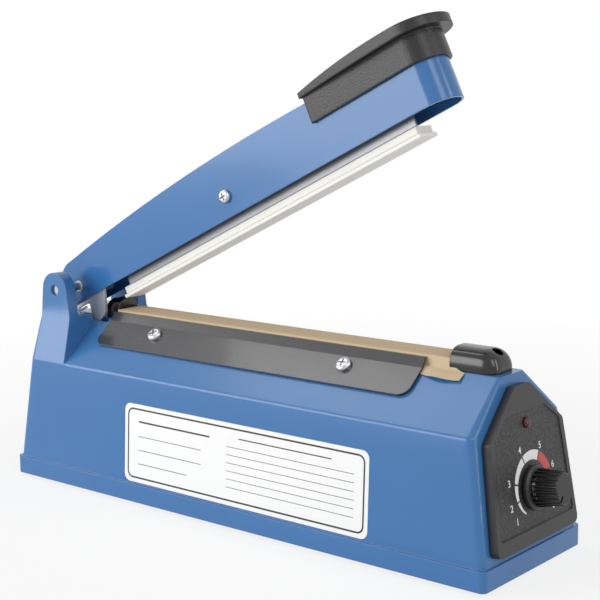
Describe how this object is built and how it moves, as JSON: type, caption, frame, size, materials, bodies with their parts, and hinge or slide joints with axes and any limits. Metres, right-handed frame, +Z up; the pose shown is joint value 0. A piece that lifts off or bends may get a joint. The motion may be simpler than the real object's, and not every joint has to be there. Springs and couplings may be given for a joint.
{
  "type": "impulse heat sealer",
  "caption": "Bench-top hand sealer for plastic bags: leaning box housing, hinged arm with a pressure strip, heated deck under a release cloth, timer knob on one end.",
  "frame": {"origin": "centre of the bounding box at its bottom, on the surface the feet stand on", "axes": "+X along the sealing deck from the hinge to the control panel, -Y towards the user, +Z up"},
  "size_m": [0.3364, 0.086, 0.2569],
  "materials": {
    "blue_plastic": "glossy moulded",
    "blue_enamel": "glossy enamel",
    "grip_plastic": "fine grain",
    "aluminium": "satin",
    "white_silicone": "soft, slightly translucent",
    "plated_steel": "bright zinc plate",
    "spring_steel": "drawn wire",
    "white_nylon": "moulded",
    "brown_tape": "woven tape",
    "nickel_chrome": "drawn ribbon",
    "coated_glass_cloth": "coated plain weave",
    "black_enamel": "satin enamel",
    "black_gloss_plastic": "polished moulding",
    "brass": "machined",
    "panel_plastic": "grained field",
    "red_lens": "translucent lens",
    "knob_plastic": "fluted moulding",
    "board_green": "laminate",
    "component_black": "moulded",
    "core_iron": "varnished laminations",
    "copper": "enamelled winding",
    "galvanised_steel": "rolled sheet",
    "black_rubber": "moulded"
  },
  "bodies": {
    "base": {"base_plate": "galvanised_steel", "base_screws": "plated_steel", "board_components": "component_black", "control_panel": "panel_plastic", "cord_bush": "black_rubber", "front_clamp_plate": "black_enamel", "front_clamp_screws": "plated_steel", "heating_wire": "nickel_chrome", "hinge_pin": "plated_steel", "hinge_pin_washer": "plated_steel", "housing": "blue_plastic", "indicator_lens": "red_lens", "insulating_tape": "brown_tape", "lamp_holder": "panel_plastic", "left_end_cap": "black_gloss_plastic", "left_terminal": "brass", "micro_switch": "component_black", "potentiometer": "plated_steel", "potentiometer_nut": "plated_steel", "rear_clamp_plate": "black_enamel", "rear_clamp_screws": "plated_steel", "release_cloth": "coated_glass_cloth", "right_end_cap": "black_gloss_plastic", "right_terminal": "brass", "rubber_feet": "black_rubber", "sealing_deck": "aluminium", "switch_bracket": "plated_steel", "switch_screws": "plated_steel", "terminal_screws": "plated_steel", "timer_board": "board_green", "transformer_coil": "copper", "transformer_core": "core_iron", "transformer_screws": "plated_steel", "transformer_strap": "plated_steel"},
    "arm": {"arm_shell": "blue_enamel", "pivot_bushes": "white_nylon", "grip_cover": "grip_plastic", "grip_screws": "plated_steel", "bar_pivot_screw": "plated_steel", "bar_pivot_nut": "plated_steel", "actuator_bracket": "plated_steel", "return_spring": "spring_steel"},
    "pressure_bar": {"pressure_bar": "aluminium", "silicone_strip": "white_silicone"},
    "knob": {"timer_knob": "knob_plastic", "potentiometer_shaft": "aluminium"},
    "lever": {"switch_lever": "plated_steel"}
  },
  "joints": [
    {"name": "arm_hinge", "type": "hinge", "parent": "base", "child": "arm", "pos_m": [-0.14403, 0, 0.1093], "axis": [0, 1, 0], "range_deg": [0, 21.85], "stiffness_Nm_per_rad": 2, "springref_deg": -34.38, "deforming": ["return_spring"]},
    {"name": "bar_rock", "type": "hinge", "parent": "arm", "child": "pressure_bar", "pos_m": [-0.02656, 0, 0.16687], "axis": [0, 1, 0], "range_deg": [0, 3.27]},
    {"name": "timer_knob_turn", "type": "hinge", "parent": "base", "child": "knob", "pos_m": [0.15101, 0, 0.0407], "axis": [-0.9899, 0, -0.1414], "range_deg": [0, 280]},
    {"name": "switch_lever_press", "type": "hinge", "parent": "base", "child": "lever", "pos_m": [-0.11624, -0.0098, 0.0776], "axis": [0, 1, 0], "range_deg": [-10.2, 0]}
  ],
  "couplings": [
    {"joint": "bar_rock", "follows": "arm_hinge", "ratio": 0.14874},
    {"joint": "switch_lever_press", "follows": "arm_hinge", "ratio": -0.46}
  ]
}
